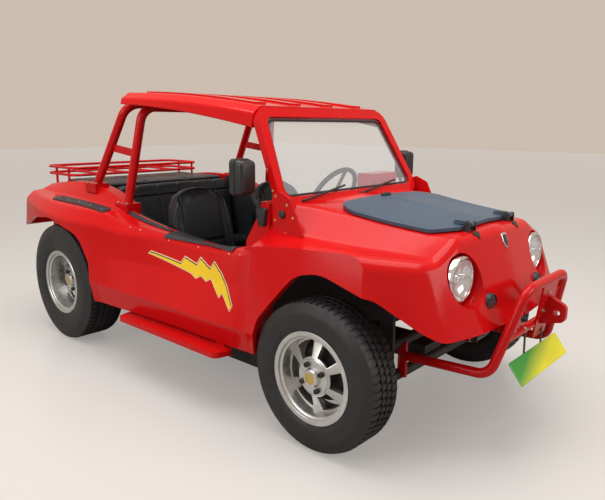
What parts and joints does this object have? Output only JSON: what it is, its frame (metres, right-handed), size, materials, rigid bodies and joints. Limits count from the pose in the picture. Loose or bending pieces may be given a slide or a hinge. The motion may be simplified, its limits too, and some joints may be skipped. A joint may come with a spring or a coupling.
{
  "type": "dune buggy",
  "caption": "Red open dune buggy with hard roof, roll bars, black seats, alloy wheels, tubular front bumper and luggage rack; wheels, steering and bonnet lid move.",
  "frame": {"origin": "on the floor under the middle of the car's overall length and width", "axes": "front faces minus Y, the car's left is plus X, up is plus Z"},
  "size_m": [1.6, 3.372, 1.4991],
  "materials": {
    "red_paint": "gloss red paint on moulded body",
    "red_tube": "gloss red paint on steel tube",
    "lid_black": "satin black paint",
    "black_trim": "satin black",
    "black_seat": "black grained vinyl",
    "clear_glass": "clear glass",
    "lamp_glass": "clear ribbed lens",
    "red_lens": "red lens",
    "rubber_tyre": "black road tyre",
    "alloy": "machined silver alloy",
    "dark_steel": "dark painted steel",
    "bare_steel": "bright steel",
    "flash_yellow": "yellow stripe",
    "floor_dark": "dark coated floor",
    "plate_yellow": "plain blank plate"
  },
  "bodies": {
    "chassis": {"body_front": "red_paint", "bonnet_hinges": "black_trim", "side_wall_right": "red_paint", "side_wall_left": "red_paint", "quarter_right": "red_paint", "quarter_left": "red_paint", "tail_panel": "red_paint", "floor_tub": "floor_dark", "dashboard": "red_paint", "roof": "red_paint", "windscreen_frame": "red_paint", "windscreen_glass": "clear_glass", "screen_plates": "red_tube", "roll_bars": "red_tube", "seat_right": "black_seat", "seat_left": "black_seat", "seat_rails": "dark_steel", "rear_bench": "black_seat", "deck_cover": "black_seat", "luggage_rack": "red_tube", "front_axle": "dark_steel", "engine": "dark_steel", "rear_axle": "dark_steel", "exhaust": "dark_steel", "front_bumper": "red_tube", "tow_coupling": "red_tube", "front_plate": "plate_yellow", "steps": "red_paint", "sill_guards": "black_trim", "wing_pads": "black_trim", "headlamps": "lamp_glass", "nose_lamps": "black_trim", "tail_lamps": "red_lens", "mirrors": "black_trim", "wipers": "black_trim", "steering_column": "dark_steel", "levers": "black_trim"},
    "bonnet_lid": {"bonnet_lid": "lid_black"},
    "steering_wheel": {"steering_wheel": "black_trim"},
    "knuckle_right": {"knuckle_right": "dark_steel"},
    "knuckle_left": {"knuckle_left": "dark_steel"},
    "wheel_front_right": {"tyre_front_right": "rubber_tyre", "rim_front_right": "alloy"},
    "wheel_front_left": {"tyre_front_left": "rubber_tyre", "rim_front_left": "alloy"},
    "wheel_rear_right": {"tyre_rear_right": "rubber_tyre", "rim_rear_right": "alloy"},
    "wheel_rear_left": {"tyre_rear_left": "rubber_tyre", "rim_rear_left": "alloy"}
  },
  "joints": [
    {"name": "steer_right", "type": "hinge", "parent": "chassis", "child": "knuckle_right", "pos_m": [-0.585, -0.971, 0.317], "axis": [0, 0, 1], "range_deg": [-30, 30]},
    {"name": "steer_left", "type": "hinge", "parent": "chassis", "child": "knuckle_left", "pos_m": [0.585, -0.971, 0.317], "axis": [0, 0, 1], "range_deg": [-30, 30]},
    {"name": "steering", "type": "hinge", "parent": "chassis", "child": "steering_wheel", "pos_m": [0.32, -0.221, 0.913], "axis": [0, 0.866, 0.5], "range_deg": [-450, 450]},
    {"name": "bonnet", "type": "hinge", "parent": "chassis", "child": "bonnet_lid", "pos_m": [0, -1.355, 0.926], "axis": [1, 0, 0], "range_deg": [0, 70]},
    {"name": "spin_front_right", "type": "hinge", "parent": "knuckle_right", "child": "wheel_front_right", "pos_m": [-0.651, -0.971, 0.317], "axis": [1, 0, 0], "continuous": true},
    {"name": "spin_front_left", "type": "hinge", "parent": "knuckle_left", "child": "wheel_front_left", "pos_m": [0.651, -0.971, 0.317], "axis": [1, 0, 0], "continuous": true},
    {"name": "spin_rear_right", "type": "hinge", "parent": "chassis", "child": "wheel_rear_right", "pos_m": [-0.658, 1.049, 0.357], "axis": [1, 0, 0], "continuous": true},
    {"name": "spin_rear_left", "type": "hinge", "parent": "chassis", "child": "wheel_rear_left", "pos_m": [0.658, 1.049, 0.357], "axis": [1, 0, 0], "continuous": true}
  ],
  "couplings": [
    {"joint": "steer_left", "follows": "steer_right", "ratio": 1},
    {"joint": "steering", "follows": "steer_right", "ratio": 15}
  ]
}
